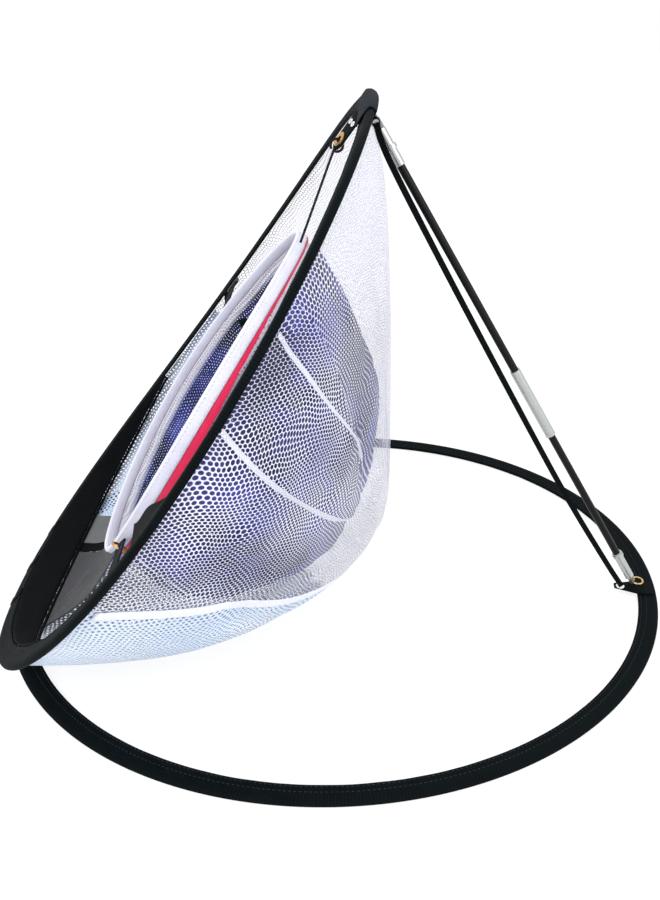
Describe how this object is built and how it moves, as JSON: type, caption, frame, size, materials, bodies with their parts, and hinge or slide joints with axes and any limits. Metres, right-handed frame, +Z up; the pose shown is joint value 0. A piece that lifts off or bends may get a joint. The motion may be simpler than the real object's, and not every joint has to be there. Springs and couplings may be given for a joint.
{
  "type": "golf chipping net",
  "caption": "Folding golf chipping target: leaning sprung hoop with an outer and an inner net bag, hinged to a flat base hoop and propped by a two-piece pole.",
  "frame": {"origin": "centre of the base hoop at ground level", "axes": "+Z up, -Y towards the golfer (the open front), +Y to the pole's foot, +X to the right side seen from behind the front"},
  "size_m": [0.492, 0.556, 0.4065],
  "materials": {
    "spring_wire": "bright drawn spring steel",
    "zinc": "dull zinc plated crimp",
    "webbing": "matt woven black webbing",
    "cap_fabric": "dark grey-blue coated fabric",
    "lip_fabric": "smooth black lining fabric",
    "binding": "matt black binding tape",
    "white_eyelet": "white enamelled eyelet",
    "pale_net": "white and pale blue knitted mesh",
    "blue_net": "blue and white knitted mesh",
    "white_tape": "lavender-white tape",
    "red_tape": "pinkish red tape",
    "strap": "black flat webbing",
    "brass": "polished brass",
    "black_cord": "braided black cord",
    "buckle_plastic": "moulded black plastic",
    "grey_panel": "plain light grey fabric",
    "dark_net": "purple-grey fine mesh",
    "ferrule_metal": "satin aluminium",
    "pole_tube": "black lacquered fibreglass tube",
    "elastic_cord": "white elastic cord",
    "ring_brass": "polished brass split ring"
  },
  "bodies": {
    "base": {"base_wire": "spring_wire", "base_crimp": "zinc", "base_sleeve": "webbing", "anchor_tab": "webbing", "anchor_eyelet": "white_eyelet", "hinge_tape_lower": "webbing"},
    "hoop": {"hinge_tape_upper": "webbing", "hoop_wire": "spring_wire", "hoop_crimp": "zinc", "hoop_sleeve": "webbing", "top_cap": "cap_fabric", "lip": "lip_fabric", "lip_binding": "binding", "outer_net": "pale_net", "ring_wire": "spring_wire", "ring_sleeve": "white_tape", "ring_band": "red_tape", "inner_net": "blue_net", "top_tab": "strap", "top_grommet": "brass", "suspension_cord": "black_cord", "far_tab": "strap", "far_strap": "strap", "far_buckle": "buckle_plastic", "far_tail": "strap", "near_strap": "strap", "near_tab": "strap", "near_link": "brass", "near_panel": "lip_fabric", "ring_tail": "strap", "bottom_panel": "grey_panel", "bottom_hem": "binding", "bottom_net": "dark_net", "pole_loop": "strap", "pole_pin": "ferrule_metal", "tension_strap": "strap"},
    "pole": {"top_ferrule": "ferrule_metal", "top_collar": "ferrule_metal", "pole_upper": "pole_tube", "mid_ferrule": "ferrule_metal", "shock_cord": "elastic_cord"},
    "pole_lower": {"pole_lower": "pole_tube", "end_ferrule": "ferrule_metal", "end_collar": "ferrule_metal"},
    "foot_ring": {"foot_ring": "ring_brass"}
  },
  "joints": [
    {"name": "hoop_fold", "type": "hinge", "parent": "base", "child": "hoop", "pos_m": [0, -0.274, 0.0059], "axis": [-1, 0, 0], "range_deg": [0, 31], "deforming": ["outer_net", "inner_net", "lip", "lip_binding", "bottom_panel", "bottom_hem", "bottom_net", "tension_strap"]},
    {"name": "pole_swing", "type": "hinge", "parent": "hoop", "child": "pole", "pos_m": [0, 0.0327, 0.38597], "axis": [1, 0, 0], "range_deg": [0, 71.1]},
    {"name": "pole_draw", "type": "slide", "parent": "pole", "child": "pole_lower", "axis": [0.0707, 0.5072, -0.8589], "range_m": [0, 0.0275], "deforming": ["shock_cord"]},
    {"name": "ring_swivel", "type": "hinge", "parent": "pole_lower", "child": "foot_ring", "pos_m": [0.031, 0.25497, 0.0096], "axis": [1, 0, 0], "range_deg": [0, 60]}
  ],
  "couplings": [
    {"joint": "pole_swing", "follows": "hoop_fold", "ratio": 2.2903},
    {"joint": "pole_draw", "follows": "hoop_fold", "m_per_rad": 0.050642}
  ]
}
